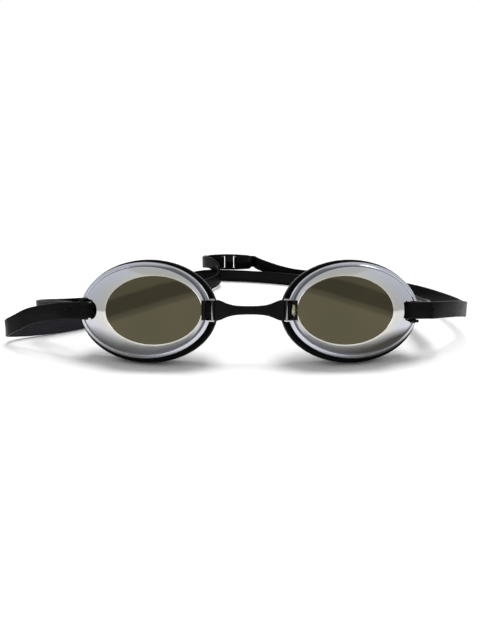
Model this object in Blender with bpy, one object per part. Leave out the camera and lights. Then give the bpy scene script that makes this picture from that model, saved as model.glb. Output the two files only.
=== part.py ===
"""Swim goggles: two mirrored racing lenses with soft gaskets, joined by a flexible nose
bridge, and one long silicone strap that loops round a bar at each temple and meets in a
slider at the back. The goggles stand on a table, lenses facing -Y and leaning back a
little, with the slack strap lying behind them. Metres, +Z up. Left is the wearer's left,
which is +X."""

import math

import bmesh
import bpy
from mathutils import Matrix, Vector

MM = 0.001

# Where the pieces stand. The design frame has X = 0 and Y = 0 at the middle of the bridge.
ORIGIN = Vector((-4.06 * MM, 70.68 * MM, 0.0))  # middle of the finished box, on the table
BRIDGE_HEIGHT = 25.65 * MM
FRONT_TILT = math.radians(19)
CUP_YAW = math.radians(3)
HINGE_X = 15.9 * MM

# A cup's own frame: X from the latch bar out to the temple, -Y forwards, Z up.
CUP_CENTRE = 28.4 * MM
OVAL_POINTS = 48
RIM_SLOPE = 0.105

# Lens: half sizes of each oval, and how far its centre is shifted towards the temple.
FLAT_HALF = (20.7 * MM, 14.7 * MM)
FLAT_SHIFT = -3.4 * MM
FLAT_FORWARD = 4.0 * MM
RIM_HALF = (29.7 * MM, 21.2 * MM)
RIM_SHIFT = 2.0 * MM
RIM_FACE = 0.9 * MM
RIM_BACK = -1.3 * MM
FLANGE_WIDTH = 1.7 * MM
SKIRT_INSET = 1.8 * MM
SKIRT_BACK = -4.2 * MM
LENS_WALL = 1.75 * MM

# Gasket.
GASKET_HALF = (31.4 * MM, 23.0 * MM)
GASKET_SHIFT = 1.1 * MM
GASKET_DROP = 0.4 * MM
GAP = 0.3 * MM

# Nasal pocket, latch bar and bridge.
POCKET_HALF_HEIGHT = 4.25 * MM
POCKET_FLOOR = -2.1 * MM
LATCH_BAR = (0.8 * MM, 0.9 * MM)  # across, and front to back
LATCH_FORWARD = 0.85 * MM
BRIDGE_END = 15.0 * MM
BRIDGE_THICK = 2.2 * MM
TONGUE_TIP = 19.3 * MM

# Strap.
STRAP_WIDTH = 7.6 * MM
STRAP_THICK = 1.6 * MM
STRAP_STEPS = 3

# Temple bar, in the cup's plane: its centre and the direction in which the strap leaves.
BAR_CENTRE = Vector((CUP_CENTRE + 26.2 * MM, 3.1 * MM, 0.0))
BAR_HALF = (1.1 * MM, 0.6 * MM)
BAR_SWEEP = math.radians(20)
FOLD_RADIUS = BAR_HALF[1] + GAP + STRAP_THICK / 2
FOLD_CENTRE = -0.8 * MM
FOLD_END = FOLD_RADIUS - FOLD_CENTRE + STRAP_THICK / 2
SLOT_HALF_HEIGHT = STRAP_WIDTH / 2 + 0.35 * MM
RAIL_HEIGHT = 1.3 * MM

# Rear slider.
SLIDER_PLACE = Vector((-11.4 * MM, 145.4 * MM, 10.2 * MM))
SLIDER_TURN = math.radians(-2)
SLIDER_LENGTH = 30.4 * MM
SLIDER_HEIGHT = (8.9 * MM, 10.6 * MM)  # at the ends, and in the middle
SLIDER_THICK = 1.8 * MM
SLOT_SPAN = (2.8 * MM, 6.2 * MM)
SLOT_CLEARANCE = 0.7 * MM  # from the middle bar to the strap that turns round it
HAIRPIN_SQUEEZE = 0.75

# The slack strap: centre points (x, y, z) in millimetres in the design frame, then the
# lean in degrees of its top edge towards the right of its path. Each run goes from a
# temple to the back. Chosen by hand.
LEFT_OUTER = [
    (87.5, 12.4, 21.7, -12), (96, 19.6, 19.6, -8), (103, 27.5, 16.9, -4), (107.4, 35, 14.2, -2),
    (108.7, 43, 12.1, 0), (108.2, 53, 10.9, 3), (105.8, 67, 9.2, 6), (101.2, 82, 7.6, 8),
    (94, 96, 6.2, 9), (82, 110, 5.3, 9), (66, 120.5, 4.8, 10), (49, 127, 4.7, 12),
    (33, 130.2, 5.2, 15), (20, 134.5, 7.2, 15), (9.4, 140.5, 9.6, 10),
]
LEFT_INNER = [
    (82.6, 14, 21.1, -16), (85.2, 20.6, 20, -28), (85.6, 29, 18.6, -40), (85, 40, 16.6, -40),
    (83.4, 53, 13.4, -26), (80.2, 69, 9.6, -12), (74.4, 85, 6.8, -4), (65.3, 99, 5.2, 0),
    (52.5, 110.5, 4.3, 0), (38, 119.3, 4, 0), (22, 126.2, 4, -5), (4, 131, 4, -6),
    (-12, 133.6, 4, -6), (-24, 134.2, 4, -4), (-34, 129, 4, 0), (-42, 118, 4, 0),
]
RIGHT_OUTER = [
    (-87, 10.6, 21.6, 14), (-95, 14.2, 19.3, 12), (-102.3, 17.2, 16.7, 12),
    (-109, 19.6, 13, 12), (-114.4, 22.4, 9.8, 8), (-116.7, 26, 7.2, 2),
    (-114.8, 29.6, 5.6, -2), (-108.5, 33, 4.6, -3), (-98.5, 37.6, 4.1, -2), (-86.5, 44.6, 4, 0),
    (-75, 54.6, 4, 0), (-64.5, 67.4, 4, 0), (-56.5, 83.4, 4, 0), (-49.5, 101, 4, 0),
]
RIGHT_INNER = [
    (-83, 14.6, 21, 12), (-89.8, 20.6, 19.3, 9), (-96.6, 25.6, 17.6, 5), (-101.6, 30, 16.4, 2),
    (-102.8, 34, 15.5, 0), (-99, 37.2, 14.8, 0), (-91, 41.4, 13.8, 0), (-80.5, 47.8, 12.6, 0),
    (-69, 57, 11.2, 0), (-57.5, 68.5, 9.8, 0), (-46, 82, 8.4, 0), (-35.5, 94.5, 7, 0),
    (-27.4, 104.5, 5.4, 0), (-21.2, 113, 5.2, -2), (-17.6, 119.8, 6.4, -4), (-18.2, 126, 9.8, -4),
    (-22.4, 131.6, 12.4, -2), (-26.6, 137.2, 12.2, 0), (-28.6, 142.4, 10.8, 0),
]


def remove_everything():
    for old in list(bpy.data.objects):
        bpy.data.objects.remove(old)


def new_collection(name):
    collection = bpy.data.collections.new(name)
    bpy.context.scene.collection.children.link(collection)
    return collection


def new_material(name, colour, roughness, metallic=0.0):
    material = bpy.data.materials.new(name)
    material.use_nodes = True
    shader = material.node_tree.nodes["Principled BSDF"]
    shader.inputs["Base Color"].default_value = (*colour, 1.0)
    shader.inputs["Roughness"].default_value = roughness
    shader.inputs["Metallic"].default_value = metallic
    return material


def add_empty(name, parent, location=(0, 0, 0), rotation=(0, 0, 0)):
    empty = bpy.data.objects.new(name, None)
    empty.location = location
    empty.rotation_euler = rotation
    empty.parent = parent
    goggles.objects.link(empty)
    return empty


def add_mesh(name, bm, material, parent, side=1, cutter=False):
    """Makes an object from bm. A cup's right-hand pieces are the left-hand ones mirrored."""
    if side < 0:
        bmesh.ops.scale(bm, vec=(-1, 1, 1), verts=bm.verts)
    bmesh.ops.recalc_face_normals(bm, faces=bm.faces)
    mesh = bpy.data.meshes.new(name)
    bm.to_mesh(mesh)
    bm.free()
    mesh.shade_smooth()
    mesh.set_sharp_from_angle(angle=math.radians(30))
    made = bpy.data.objects.new(name, mesh)
    made.parent = parent
    if cutter:
        made.hide_render = True
        made.display_type = "WIRE"
        cutters.objects.link(made)
    else:
        mesh.materials.append(material)
        goggles.objects.link(made)
    return made


def carve(target, cutter, operation="DIFFERENCE"):
    modifier = target.modifiers.new(cutter.name, "BOOLEAN")
    modifier.operation = operation
    modifier.solver = "EXACT"
    modifier.object = cutter


def oval(centre, half, depth, drop=0.0, slope=RIM_SLOPE):
    """One ring of points. depth is how far forward it is at the nasal side of the rim,
    and slope is how fast it falls back towards the temple."""
    nasal = CUP_CENTRE + RIM_SHIFT - RIM_HALF[0]
    points = []
    for step in range(OVAL_POINTS):
        angle = 2 * math.pi * step / OVAL_POINTS
        across = CUP_CENTRE + centre + half[0] * math.cos(angle)
        forward = depth - slope * (across - nasal)
        points.append(Vector((across, -forward, half[1] * math.sin(angle) - drop)))
    return points


def inset(half, amount):
    return (half[0] - amount, half[1] - amount)


def loft(rings, ring_shaped=False):
    """Skins the rings in order, and closes it with end caps or, for a ring-shaped solid,
    by joining the last ring to the first."""
    bm = bmesh.new()
    loops = [[bm.verts.new(point) for point in ring] for ring in rings]
    pairs = list(zip(loops, loops[1:]))
    if ring_shaped:
        pairs.append((loops[-1], loops[0]))
    for near, far in pairs:
        for step in range(len(near)):
            after = (step + 1) % len(near)
            bm.faces.new((near[step], near[after], far[after], far[step]))
    if not ring_shaped:
        bm.faces.new(loops[0])
        bm.faces.new(loops[-1])
    return bm


def block(low, high, place=Matrix.Identity(4)):
    size = Vector(high) - Vector(low)
    middle = (Vector(high) + Vector(low)) / 2
    bm = bmesh.new()
    scaled = Matrix.Translation(middle) @ Matrix.Diagonal((*size, 1))
    bmesh.ops.create_cube(bm, size=1, matrix=place @ scaled)
    return bm


def temple_frame():
    """Frame at the temple bar: X along the leaving strap, -Y out of the lens, Z up."""
    return Matrix.Translation(BAR_CENTRE) @ Matrix.Rotation(BAR_SWEEP, 4, "Z")


def lens_outside():
    return loft([
        oval(FLAT_SHIFT, inset(FLAT_HALF, 0.2 * MM), FLAT_FORWARD, slope=0),
        oval(FLAT_SHIFT, inset(FLAT_HALF, -0.2 * MM), FLAT_FORWARD - 0.25 * MM, slope=0),
        oval(RIM_SHIFT, inset(RIM_HALF, FLANGE_WIDTH), RIM_FACE),
        oval(RIM_SHIFT, inset(RIM_HALF, 0.35 * MM), RIM_FACE),
        oval(RIM_SHIFT, RIM_HALF, RIM_FACE - 0.4 * MM),
        oval(RIM_SHIFT, RIM_HALF, RIM_BACK),
        oval(RIM_SHIFT, inset(RIM_HALF, SKIRT_INSET), RIM_BACK),
        oval(RIM_SHIFT, inset(RIM_HALF, SKIRT_INSET), SKIRT_BACK),
    ])


def lens_inside():
    mouth = inset(RIM_HALF, SKIRT_INSET + LENS_WALL)
    return loft([
        oval(FLAT_SHIFT, inset(FLAT_HALF, 1.1 * MM), FLAT_FORWARD - LENS_WALL, slope=0),
        oval(RIM_SHIFT, mouth, RIM_FACE - 1.5 * MM),
        oval(RIM_SHIFT, mouth, SKIRT_BACK - 2 * MM),
    ])


def make_lens(name, side, rail_side, parent, material):
    """The moulded lens: a shell whose nasal pocket and temple recess are walled off from
    the sealed inside, with a bar across each."""
    pocket_in = CUP_CENTRE + FLAT_SHIFT - FLAT_HALF[0] + 0.1 * MM
    rim_nose = CUP_CENTRE + RIM_SHIFT - RIM_HALF[0]
    bar_half = LATCH_BAR[0] / 2
    half = POCKET_HALF_HEIGHT
    wall = 0.95 * MM
    far = 12 * MM
    frame = temple_frame()
    slot = SLOT_HALF_HEIGHT
    floor = FOLD_RADIUS + STRAP_THICK / 2 + 0.4 * MM

    lens = add_mesh(name, lens_outside(), material, parent, side)

    def cutter(label, bm):
        return add_mesh(f"{name}_{label}", bm, None, parent, side, cutter=True)

    cavity = cutter("cavity", lens_inside())
    nose_box = block((-5 * MM, -far, -half - wall),
                     (pocket_in + wall, -POCKET_FLOOR + wall, half + wall))
    carve(cavity, cutter("nose_box", nose_box))
    rail_room = RAIL_HEIGHT + 0.3 * MM
    temple_low = -slot - wall - (rail_room if rail_side < 0 else 0)
    temple_high = slot + wall + (rail_room if rail_side > 0 else 0)
    temple_box = block((-FOLD_END - 1.4 * MM, -far, temple_low),
                       (far, floor + wall, temple_high), frame)
    carve(cavity, cutter("temple_box", temple_box))
    carve(lens, cavity)

    lug = block((-0.8 * MM, -1.3 * MM, -half - 0.7 * MM),
                (rim_nose + 1.2 * MM, -RIM_BACK - 0.06 * MM, half + 0.7 * MM))
    carve(lens, cutter("lug", lug), "UNION")
    latch_low = (-bar_half, -LATCH_FORWARD - LATCH_BAR[1] / 2, -2 * half)
    latch_high = (bar_half, -LATCH_FORWARD + LATCH_BAR[1] / 2, 2 * half)
    pocket = cutter("pocket", block((-3 * MM, -far, -half), (pocket_in, -POCKET_FLOOR, half)))
    carve(pocket, cutter("latch_bar", block(latch_low, latch_high)))
    carve(lens, pocket)

    recess_box = block((-FOLD_END - 0.4 * MM, -far, -slot), (far, floor, slot), frame)
    recess = cutter("recess", recess_box)
    bar_low = (-BAR_HALF[0], -BAR_HALF[1], -2 * slot)
    bar_high = (BAR_HALF[0], BAR_HALF[1], 2 * slot)
    carve(recess, cutter("temple_bar", block(bar_low, bar_high, frame)))
    carve(lens, recess)
    edges = sorted((rail_side * (slot - 0.5 * MM),
                    rail_side * (slot + RAIL_HEIGHT + 0.25 * MM)))
    notch = block((1.35 * MM, -far, edges[0]), (far, floor - 0.1 * MM, edges[1]), frame)
    carve(lens, cutter("rail_notch", notch))
    return lens


def make_temple_clip(name, side, rail_side, parent, material):
    """A small moulded rail along one edge of the strap, with two studs on its face."""
    frame = temple_frame()
    inner = SLOT_HALF_HEIGHT - 0.05 * MM
    edges = sorted((rail_side * inner, rail_side * (inner + RAIL_HEIGHT)))
    front = -2.1 * MM
    rail = block((1.65 * MM, front, edges[0]), (5.0 * MM, 2.2 * MM, edges[1]), frame)
    clip = add_mesh(name, rail, material, parent, side)
    for number, along in enumerate((2.5 * MM, 4.1 * MM)):
        bm = bmesh.new()
        middle = Matrix.Translation((along, front, sum(edges) / 2))
        place = middle @ Matrix.Rotation(math.pi / 2, 4, "X")
        bmesh.ops.create_cone(bm, cap_ends=True, segments=12, radius1=0.5 * MM, radius2=0.38 * MM,
                              depth=0.7 * MM, matrix=frame @ place)
        stud = add_mesh(f"{name}_stud_{number + 1}", bm, None, parent, side, cutter=True)
        carve(clip, stud, "UNION")
    return clip


def make_gasket(name, side, parent, material):
    groove = inset(RIM_HALF, SKIRT_INSET - GAP)
    front = RIM_BACK - GAP
    behind_skirt = SKIRT_BACK - GAP
    wide = GASKET_HALF
    return add_mesh(name, loft([
        oval(RIM_SHIFT, groove, front),
        oval(1.4 * MM, inset(wide, 1.1 * MM), front, 0.3 * MM),
        oval(GASKET_SHIFT, inset(wide, 0.3 * MM), front - 0.8 * MM, GASKET_DROP),
        oval(GASKET_SHIFT, wide, front - 2.2 * MM, GASKET_DROP),
        oval(GASKET_SHIFT, wide, front - 4.4 * MM, GASKET_DROP),
        oval(GASKET_SHIFT, inset(wide, 0.7 * MM), front - 6.6 * MM, GASKET_DROP),
        oval(GASKET_SHIFT, inset(wide, 2.2 * MM), front - 8.2 * MM, GASKET_DROP),
        oval(GASKET_SHIFT, inset(wide, 4.2 * MM), front - 8.6 * MM, GASKET_DROP),
        oval(1.3 * MM, inset(wide, 5.6 * MM), front - 7.4 * MM, 0.3 * MM),
        oval(1.5 * MM, inset(wide, 5.3 * MM), behind_skirt - 1.2 * MM, 0.2 * MM),
        oval(RIM_SHIFT, inset(RIM_HALF, SKIRT_INSET + 1.5 * MM), behind_skirt),
        oval(RIM_SHIFT, groove, behind_skirt),
    ], ring_shaped=True), material, parent, side)


def bridge_section(across, half_height, front, back):
    """A rounded rectangle facing along X, as eight points."""
    corner = min(half_height, (back - front) / 2) * 0.45
    outline = [
        (front + corner, half_height), (back - corner, half_height),
        (back, half_height - corner), (back, corner - half_height),
        (back - corner, -half_height), (front + corner, -half_height),
        (front, corner - half_height), (front, half_height - corner),
    ]
    return [Vector((across, depth, height)) for depth, height in outline]


def make_bridge(parent, material):
    """The interchangeable nose bridge: a slim waist, an end block at each side, and a
    ridged tongue that goes behind the latch bar."""
    face = -1.3 * MM
    back = face + BRIDGE_THICK
    tongue_face = 0.15 * MM
    tongue_back = 1.2 * MM
    tongue_half = POCKET_HALF_HEIGHT - 0.65 * MM
    half = [
        (0.0, 1.85 * MM, face + 0.1 * MM, back),
        (4.5 * MM, 2.0 * MM, face + 0.1 * MM, back),
        (8.2 * MM, 2.55 * MM, face, back),
        (10.8 * MM, 3.5 * MM, face, back),
        (12.6 * MM, 4.3 * MM, face, back),
        (BRIDGE_END - 0.5 * MM, 4.5 * MM, face, back),
        (BRIDGE_END, 4.2 * MM, face + 0.3 * MM, back),
        (BRIDGE_END + 0.05 * MM, tongue_half, tongue_face, tongue_back),
        (TONGUE_TIP - 2.5 * MM, tongue_half, tongue_face, tongue_back),
        (TONGUE_TIP - 2.1 * MM, tongue_half, tongue_face - 0.5 * MM, tongue_back),
        (TONGUE_TIP - 1.5 * MM, tongue_half, tongue_face - 0.5 * MM, tongue_back),
        (TONGUE_TIP - 1.1 * MM, tongue_half, tongue_face, tongue_back),
        (TONGUE_TIP, tongue_half - 0.4 * MM, tongue_face + 0.1 * MM, tongue_back),
    ]
    mirrored = [(-across, *rest) for across, *rest in reversed(half[1:])]
    sections = [bridge_section(*one) for one in mirrored + half]
    return add_mesh("nose_bridge", loft(sections), material, parent)


def smooth_run(points, steps):
    """A Catmull-Rom curve through the points, each a Vector of x, y, z and lean."""
    ends = [2 * points[0] - points[1], *points, 2 * points[-1] - points[-2]]
    run = []
    for index in range(1, len(ends) - 2):
        before, start, end, after = ends[index - 1:index + 3]
        for step in range(steps):
            t = step / steps
            run.append(0.5 * (
                2 * start + (end - before) * t
                + (2 * before - 5 * start + 4 * end - after) * t ** 2
                + (3 * start - before - 3 * end + after) * t ** 3
            ))
    run.append(points[-1])
    return run


def trimmed(run, start=False, end=False):
    """The run with half a gap taken off the ends where it meets the next length of strap."""
    run = [point.copy() for point in run]
    for wanted, here, inner in ((start, 0, 1), (end, -1, -2)):
        if wanted:
            away = (run[inner].xyz - run[here].xyz).normalized() * GAP / 2
            run[here] += Vector((*away, 0.0))
    return run


def make_band(name, run, material, parent):
    """A length of flat strap: a curve that follows the run, standing on edge and leaning
    by the run's fourth number."""
    curve = bpy.data.curves.new(name, "CURVE")
    curve.dimensions = "3D"
    curve.twist_mode = "Z_UP"
    curve.extrude = (STRAP_WIDTH - STRAP_THICK) / 2
    curve.bevel_depth = STRAP_THICK / 2
    curve.bevel_resolution = 1
    curve.use_fill_caps = True
    spline = curve.splines.new("POLY")
    spline.points.add(len(run) - 1)
    for point, place in zip(spline.points, run):
        point.co = (*place.xyz, 1.0)
        point.tilt = place.w
    curve.materials.append(material)
    band = bpy.data.objects.new(name, curve)
    band.parent = parent
    goggles.objects.link(band)
    return band


def fold_run(side):
    """The strap's path round the temple bar, in the cup's frame: in over the front of the
    bar and out behind it."""
    frame = temple_frame()
    reach = 9.0 * MM
    local = [(reach, -FOLD_RADIUS), (reach / 2, -FOLD_RADIUS)]
    arc_steps = 8
    for step in range(arc_steps + 1):
        angle = math.pi * step / arc_steps
        local.append((FOLD_CENTRE - FOLD_RADIUS * math.sin(angle), -FOLD_RADIUS * math.cos(angle)))
    local += [(reach / 2, FOLD_RADIUS), (reach - 0.8 * MM, FOLD_RADIUS)]
    placed = [frame @ Vector((along, out, 0.0)) for along, out in local]
    return [Vector((side * point.x, point.y, point.z, 0.0)) for point in placed]


def in_metres(points):
    return [Vector((x * MM, y * MM, z * MM, math.radians(lean))) for x, y, z, lean in points]


def in_design(cup, point):
    """A point of a cup's own frame in the design frame."""
    return Vector((*(front.matrix_local @ cup.matrix_local @ point.xyz), point.w))


def temple_start(cup, fold, end, lean):
    """The two points, just clear of the fold's end, from which a run leaves the temple."""
    last, inner = (fold[0], fold[1]) if end == "outer" else (fold[-1], fold[-2])
    away = (last.xyz - inner.xyz).normalized()
    starts = []
    for distance in (GAP, 3.0 * MM):
        point = in_design(cup, Vector((*(last.xyz + away * distance), 0.0)))
        point.w = math.radians(lean)
        starts.append(point)
    return starts


def slider_run(side):
    """The strap's end in the slider's frame: in behind the outer bar, forward through the
    slot, and back outwards over the bar's face."""
    radius = SLIDER_THICK / 2 + GAP + STRAP_THICK / 2
    turn = SLOT_SPAN[0] + SLOT_CLEARANCE + STRAP_THICK / 2 + radius * HAIRPIN_SQUEEZE
    local = [(SLIDER_LENGTH / 2 + 1.4 * MM, radius), (SLIDER_LENGTH / 4 + 2 * MM, radius)]
    arc_steps = 6
    for step in range(arc_steps + 1):
        angle = math.pi * step / arc_steps
        local.append((turn - radius * math.sin(angle) * HAIRPIN_SQUEEZE, radius * math.cos(angle)))
    local.append((SLIDER_LENGTH / 2 - 3 * MM, -radius))
    return [Vector((side * along, out, 0.0, 0.0)) for along, out in local]


def make_slider(parent, material):
    """The rear slider: a barrel-sided plate with a slot each side of its middle bar."""
    half_length = SLIDER_LENGTH / 2
    rings = []
    for step in range(9):
        along = -half_length + SLIDER_LENGTH * step / 8
        bulge = 1 - (along / half_length) ** 2
        half_height = (SLIDER_HEIGHT[0] + (SLIDER_HEIGHT[1] - SLIDER_HEIGHT[0]) * bulge) / 2
        if step in (0, 8):
            half_height -= 0.6 * MM
        rings.append(bridge_section(along, half_height, -SLIDER_THICK / 2, SLIDER_THICK / 2))
    slider = add_mesh("rear_slider", loft(rings), material, parent)
    for side in (-1, 1):
        low, high = sorted((side * SLOT_SPAN[0], side * SLOT_SPAN[1]))
        slot = block((low, -5 * MM, -SLOT_HALF_HEIGHT), (high, 5 * MM, SLOT_HALF_HEIGHT))
        carve(slider, add_mesh(f"rear_slider_slot_{side + 2}", slot, None, parent, cutter=True))
    return slider


def make_cup(label, side, rail_side):
    yaw = (0, 0, side * CUP_YAW)
    cup = add_empty(f"{label}_cup", front, (side * HINGE_X, 0, 0), yaw)
    make_lens(f"{label}_lens", side, rail_side, cup, lens_material)
    make_gasket(f"{label}_gasket", side, cup, gasket_material)
    make_temple_clip(f"{label}_temple_clip", side, rail_side, cup, clip_material)
    fold = fold_run(side)
    make_band(f"{label}_temple_fold", fold, strap_material, cup)
    bpy.context.view_layer.update()
    return cup, fold


def make_strap(cups):
    """The slack strap, cut where one body's share ends and the next begins."""
    slider = add_empty("slider_place", stand, SLIDER_PLACE, (0, 0, SLIDER_TURN))
    make_slider(slider, clip_material)
    bpy.context.view_layer.update()
    ends = {}
    for label, side in (("left", 1), ("right", -1)):
        run = slider_run(side)
        ends[label] = [Vector((*(slider.matrix_local @ point.xyz), 0.0)) for point in run]

    def full(label, end, points, lean, tail):
        cup, fold = cups[label]
        return smooth_run(temple_start(cup, fold, end, lean) + in_metres(points) + tail, STRAP_STEPS)

    def cut(run, index, front_name, rear_name):
        make_band(front_name, trimmed(run[:index + 1], end=True), strap_material, stand)
        make_band(rear_name, trimmed(run[index:], start=True), strap_material, stand)

    left_outer = full("left", "outer", LEFT_OUTER, -18, ends["left"][:1])
    left_outer += ends["left"][1:]
    cut(left_outer, 12 * STRAP_STEPS, "left_outer_strand", "rear_upper_strand")
    right_inner = full("right", "inner", RIGHT_INNER, 18, ends["right"][:1])
    right_inner += ends["right"][1:]
    cut(right_inner, 11 * STRAP_STEPS, "right_inner_strand", "rear_crossing_strand")

    left_inner = full("left", "inner", LEFT_INNER, -18, [])
    right_outer = full("right", "outer", RIGHT_OUTER, 18, [])
    across = left_inner + list(reversed([Vector((*p.xyz, -p.w)) for p in right_outer]))
    start = 10 * STRAP_STEPS
    end = len(across) - 1 - 13 * STRAP_STEPS
    make_band("left_inner_strand", trimmed(across[:start + 1], end=True), strap_material, stand)
    middle = trimmed(across[start:end + 1], start=True, end=True)
    make_band("rear_lower_strand", middle, strap_material, stand)
    make_band("right_outer_strand", trimmed(across[end:], start=True), strap_material, stand)


remove_everything()
goggles = new_collection("swim_goggles")
cutters = new_collection("cutters")
cutters.hide_render = True

lens_material = new_material("mirrored_lens", (0.42, 0.42, 0.44), 0.12, 0.9)
gasket_material = new_material("gasket_silicone", (0.012, 0.012, 0.013), 0.3)
strap_material = new_material("strap_silicone", (0.016, 0.016, 0.018), 0.28)
bridge_material = new_material("bridge_rubber", (0.02, 0.018, 0.02), 0.4)
clip_material = new_material("black_plastic", (0.014, 0.014, 0.016), 0.35)

stand = add_empty("stand", None, -ORIGIN)
front = add_empty("front", stand, (0, 0, BRIDGE_HEIGHT), (-FRONT_TILT, 0, 0))
bpy.context.view_layer.update()
make_bridge(front, bridge_material)
cup_parts = {
    "left": make_cup("left", 1, -1),
    "right": make_cup("right", -1, 1),
}
make_strap(cup_parts)
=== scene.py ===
"""Looks for the swim goggles: finely built, shaded stand-ins for the plain CAD solids, on a
white studio floor. Left is the wearer's left, which is +X. Metres, in the CAD's frame."""

import math

import bmesh
import bpy
from mathutils import Matrix, Vector


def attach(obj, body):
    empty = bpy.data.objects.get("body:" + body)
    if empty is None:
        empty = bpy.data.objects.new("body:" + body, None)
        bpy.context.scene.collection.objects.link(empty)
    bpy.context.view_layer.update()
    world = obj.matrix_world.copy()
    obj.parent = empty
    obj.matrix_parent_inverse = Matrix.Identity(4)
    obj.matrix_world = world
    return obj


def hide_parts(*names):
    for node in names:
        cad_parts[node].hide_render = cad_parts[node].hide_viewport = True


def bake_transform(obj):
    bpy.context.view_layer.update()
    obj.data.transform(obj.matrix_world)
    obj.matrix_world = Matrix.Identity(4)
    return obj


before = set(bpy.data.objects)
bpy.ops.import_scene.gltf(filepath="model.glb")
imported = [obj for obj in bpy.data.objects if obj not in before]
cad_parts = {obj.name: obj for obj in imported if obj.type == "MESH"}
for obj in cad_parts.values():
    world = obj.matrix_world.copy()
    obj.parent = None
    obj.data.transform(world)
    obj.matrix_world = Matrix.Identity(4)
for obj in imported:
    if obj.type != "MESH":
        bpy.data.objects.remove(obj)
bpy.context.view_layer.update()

MM = 0.001

# ---- Layout shared with the CAD. The design frame has X = 0, Y = 0 at the bridge's middle.
ORIGIN = Vector((-4.06, 70.68, 0.0)) * MM
BRIDGE_HEIGHT = 25.65 * MM
FRONT_TILT = math.radians(19)
CUP_YAW = math.radians(3)
HINGE_X = 15.9 * MM

CUP_CENTRE = 28.4 * MM
RIM_SLOPE = 0.105
FLAT_HALF = (20.7 * MM, 14.7 * MM)
FLAT_SHIFT = -3.4 * MM
FLAT_FORWARD = 4.0 * MM
RIM_HALF = (29.7 * MM, 21.2 * MM)
RIM_SHIFT = 2.0 * MM
RIM_FACE = 0.9 * MM
RIM_BACK = -1.3 * MM
FLANGE_WIDTH = 1.7 * MM
SKIRT_INSET = 1.8 * MM
SKIRT_BACK = -4.2 * MM
LENS_WALL = 1.75 * MM

GASKET_HALF = (31.4 * MM, 23.0 * MM)
GASKET_SHIFT = 1.1 * MM
GASKET_DROP = 0.4 * MM
GAP = 0.3 * MM

POCKET_HALF_HEIGHT = 4.25 * MM
POCKET_FLOOR = -2.1 * MM
LATCH_BAR = (0.8 * MM, 0.9 * MM)
LATCH_FORWARD = 0.85 * MM
TONGUE_TIP = 19.3 * MM

STRAP_WIDTH = 7.6 * MM
STRAP_THICK = 1.6 * MM
STRAP_STEPS = 3
BAR_CENTRE = Vector((CUP_CENTRE + 26.2 * MM, 3.1 * MM, 0.0))
BAR_HALF = (1.1 * MM, 0.6 * MM)
BAR_SWEEP = math.radians(20)
FOLD_RADIUS = BAR_HALF[1] + GAP + STRAP_THICK / 2
FOLD_CENTRE = -0.8 * MM
FOLD_END = FOLD_RADIUS - FOLD_CENTRE + STRAP_THICK / 2
SLOT_HALF_HEIGHT = STRAP_WIDTH / 2 + 0.35 * MM
RAIL_HEIGHT = 1.3 * MM

SLIDER_PLACE = Vector((-11.4, 145.4, 10.2)) * MM
SLIDER_TURN = math.radians(-2)
SLIDER_LENGTH = 30.4 * MM
SLIDER_HEIGHT = (8.9 * MM, 10.6 * MM)
SLIDER_THICK = 1.8 * MM
SLOT_SPAN = (2.8 * MM, 6.2 * MM)
SLOT_CLEARANCE = 0.45 * MM  # strap to middle bar: a quarter millimetre closer than the CAD's
HAIRPIN_SQUEEZE = 0.75

# The strap's centre lines, as in the CAD: x, y, z in millimetres and the lean in degrees.
LEFT_OUTER = [
    (87.5, 12.4, 21.7, -12), (96, 19.6, 19.6, -8), (103, 27.5, 16.9, -4), (107.4, 35, 14.2, -2),
    (108.7, 43, 12.1, 0), (108.2, 53, 10.9, 3), (105.8, 67, 9.2, 6), (101.2, 82, 7.6, 8),
    (94, 96, 6.2, 9), (82, 110, 5.3, 9), (66, 120.5, 4.8, 10), (49, 127, 4.7, 12),
    (33, 130.2, 5.2, 15), (20, 134.5, 7.2, 15), (9.4, 140.5, 9.6, 10),
]
LEFT_INNER = [
    (82.6, 14, 21.1, -16), (85.2, 20.6, 20, -28), (85.6, 29, 18.6, -40), (85, 40, 16.6, -40),
    (83.4, 53, 13.4, -26), (80.2, 69, 9.6, -12), (74.4, 85, 6.8, -4), (65.3, 99, 5.2, 0),
    (52.5, 110.5, 4.3, 0), (38, 119.3, 4, 0), (22, 126.2, 4, -5), (4, 131, 4, -6),
    (-12, 133.6, 4, -6), (-24, 134.2, 4, -4), (-34, 129, 4, 0), (-42, 118, 4, 0),
]
RIGHT_OUTER = [
    (-87, 10.6, 21.6, 14), (-95, 14.2, 19.3, 12), (-102.3, 17.2, 16.7, 12),
    (-109, 19.6, 13, 12), (-114.4, 22.4, 9.8, 8), (-116.7, 26, 7.2, 2),
    (-114.8, 29.6, 5.6, -2), (-108.5, 33, 4.6, -3), (-98.5, 37.6, 4.1, -2), (-86.5, 44.6, 4, 0),
    (-75, 54.6, 4, 0), (-64.5, 67.4, 4, 0), (-56.5, 83.4, 4, 0), (-49.5, 101, 4, 0),
]
RIGHT_INNER = [
    (-83, 14.6, 21, 12), (-89.8, 20.6, 19.3, 9), (-96.6, 25.6, 17.6, 5), (-101.6, 30, 16.4, 2),
    (-102.8, 34, 15.5, 0), (-99, 37.2, 14.8, 0), (-91, 41.4, 13.8, 0), (-80.5, 47.8, 12.6, 0),
    (-69, 57, 11.2, 0), (-57.5, 68.5, 9.8, 0), (-46, 82, 8.4, 0), (-35.5, 94.5, 7, 0),
    (-27.4, 104.5, 5.4, 0), (-21.2, 113, 5.2, -2), (-17.6, 119.8, 6.4, -4), (-18.2, 126, 9.8, -4),
    (-22.4, 131.6, 12.4, -2), (-26.6, 137.2, 12.2, 0), (-28.6, 142.4, 10.8, 0),
]

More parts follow.
